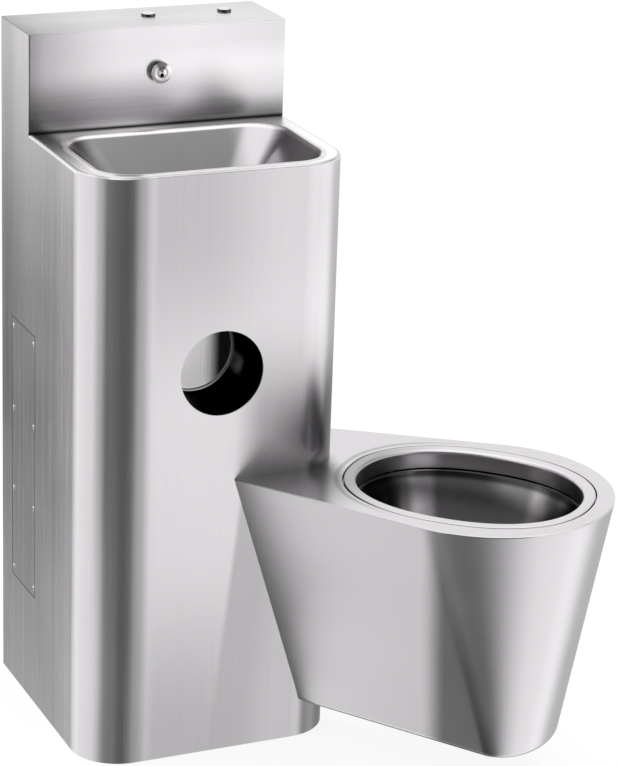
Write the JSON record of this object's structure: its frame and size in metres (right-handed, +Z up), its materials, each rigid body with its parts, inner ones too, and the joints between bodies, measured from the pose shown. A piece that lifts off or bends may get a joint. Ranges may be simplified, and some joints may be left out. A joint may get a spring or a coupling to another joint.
{
  "type": "toilet and basin combination unit",
  "caption": "Floor-standing stainless-steel cabinet with a wash basin on top, a toilet-roll recess in front and a toilet pan at its right front corner.",
  "frame": {"origin": "middle of the cabinet's footprint, on the floor", "axes": "+X to the right along the cabinet's front, +Y from the front to the wall, +Z up"},
  "size_m": [0.7045, 0.6983, 0.994],
  "materials": {
    "satin_steel": "satin, fine vertical grain",
    "polished_steel": "bright satin",
    "zinc_steel": "dull",
    "brass": "cast and machined",
    "black_rubber": "matte",
    "grey_plastic": "matte",
    "red_coated_steel": "dipped vinyl"
  },
  "bodies": {
    "unit": {"cabinet_shell": "satin_steel", "deck_plate": "satin_steel", "upstand_cover": "satin_steel", "rear_frame": "zinc_steel", "base_frame": "zinc_steel", "access_frame": "zinc_steel", "access_panel": "satin_steel", "access_screws": "polished_steel", "roll_pocket": "polished_steel", "basin_bowl": "polished_steel", "basin_waste": "polished_steel", "basin_waste_seal": "black_rubber", "basin_waste_nut": "brass", "basin_waste_pipe": "grey_plastic", "basin_trap": "grey_plastic", "basin_outlet_pipe": "grey_plastic", "spout": "polished_steel", "spout_seal": "black_rubber", "spout_nut": "brass", "spout_pipe": "polished_steel", "tap_valve": "brass", "tap_spring": "zinc_steel", "tap_supply_pipe": "polished_steel", "tap_stop_valve": "brass", "tap_inlet": "polished_steel", "flush_valve": "brass", "flush_spring": "zinc_steel", "flush_supply_pipe": "polished_steel", "flush_stop_valve": "brass", "flush_inlet": "polished_steel", "flush_pipe": "polished_steel", "valve_studs": "zinc_steel", "valve_nuts": "zinc_steel", "pan_shell": "satin_steel", "pan_top_plate": "satin_steel", "pan_base_plate": "satin_steel", "pan_rim": "polished_steel", "pan_bowl": "polished_steel", "pan_gussets": "zinc_steel", "pan_trap": "polished_steel", "pan_soil_pipe": "polished_steel", "pan_outlet_sleeve": "polished_steel"},
    "tap_button": {"tap_button": "polished_steel"},
    "flush_button": {"flush_button": "polished_steel"},
    "tap_lever": {"tap_stop_lever": "red_coated_steel"},
    "flush_lever": {"flush_stop_lever": "red_coated_steel"}
  },
  "joints": [
    {"name": "tap_push", "type": "slide", "parent": "unit", "child": "tap_button", "axis": [0, 0, -1], "range_m": [0, 0.004], "stiffness_N_per_m": 400, "springref_m": -0.01, "deforming": ["tap_spring"]},
    {"name": "flush_push", "type": "slide", "parent": "unit", "child": "flush_button", "axis": [0, 0, -1], "range_m": [0, 0.004], "stiffness_N_per_m": 400, "springref_m": -0.01, "deforming": ["flush_spring"]},
    {"name": "tap_stop_turn", "type": "hinge", "parent": "unit", "child": "tap_lever", "pos_m": [-0.0104, 0.1385, 0.491], "axis": [1, 0, 0], "range_deg": [0, 90]},
    {"name": "flush_stop_turn", "type": "hinge", "parent": "unit", "child": "flush_lever", "pos_m": [0.1011, 0.1385, 0.491], "axis": [1, 0, 0], "range_deg": [0, 90]}
  ]
}
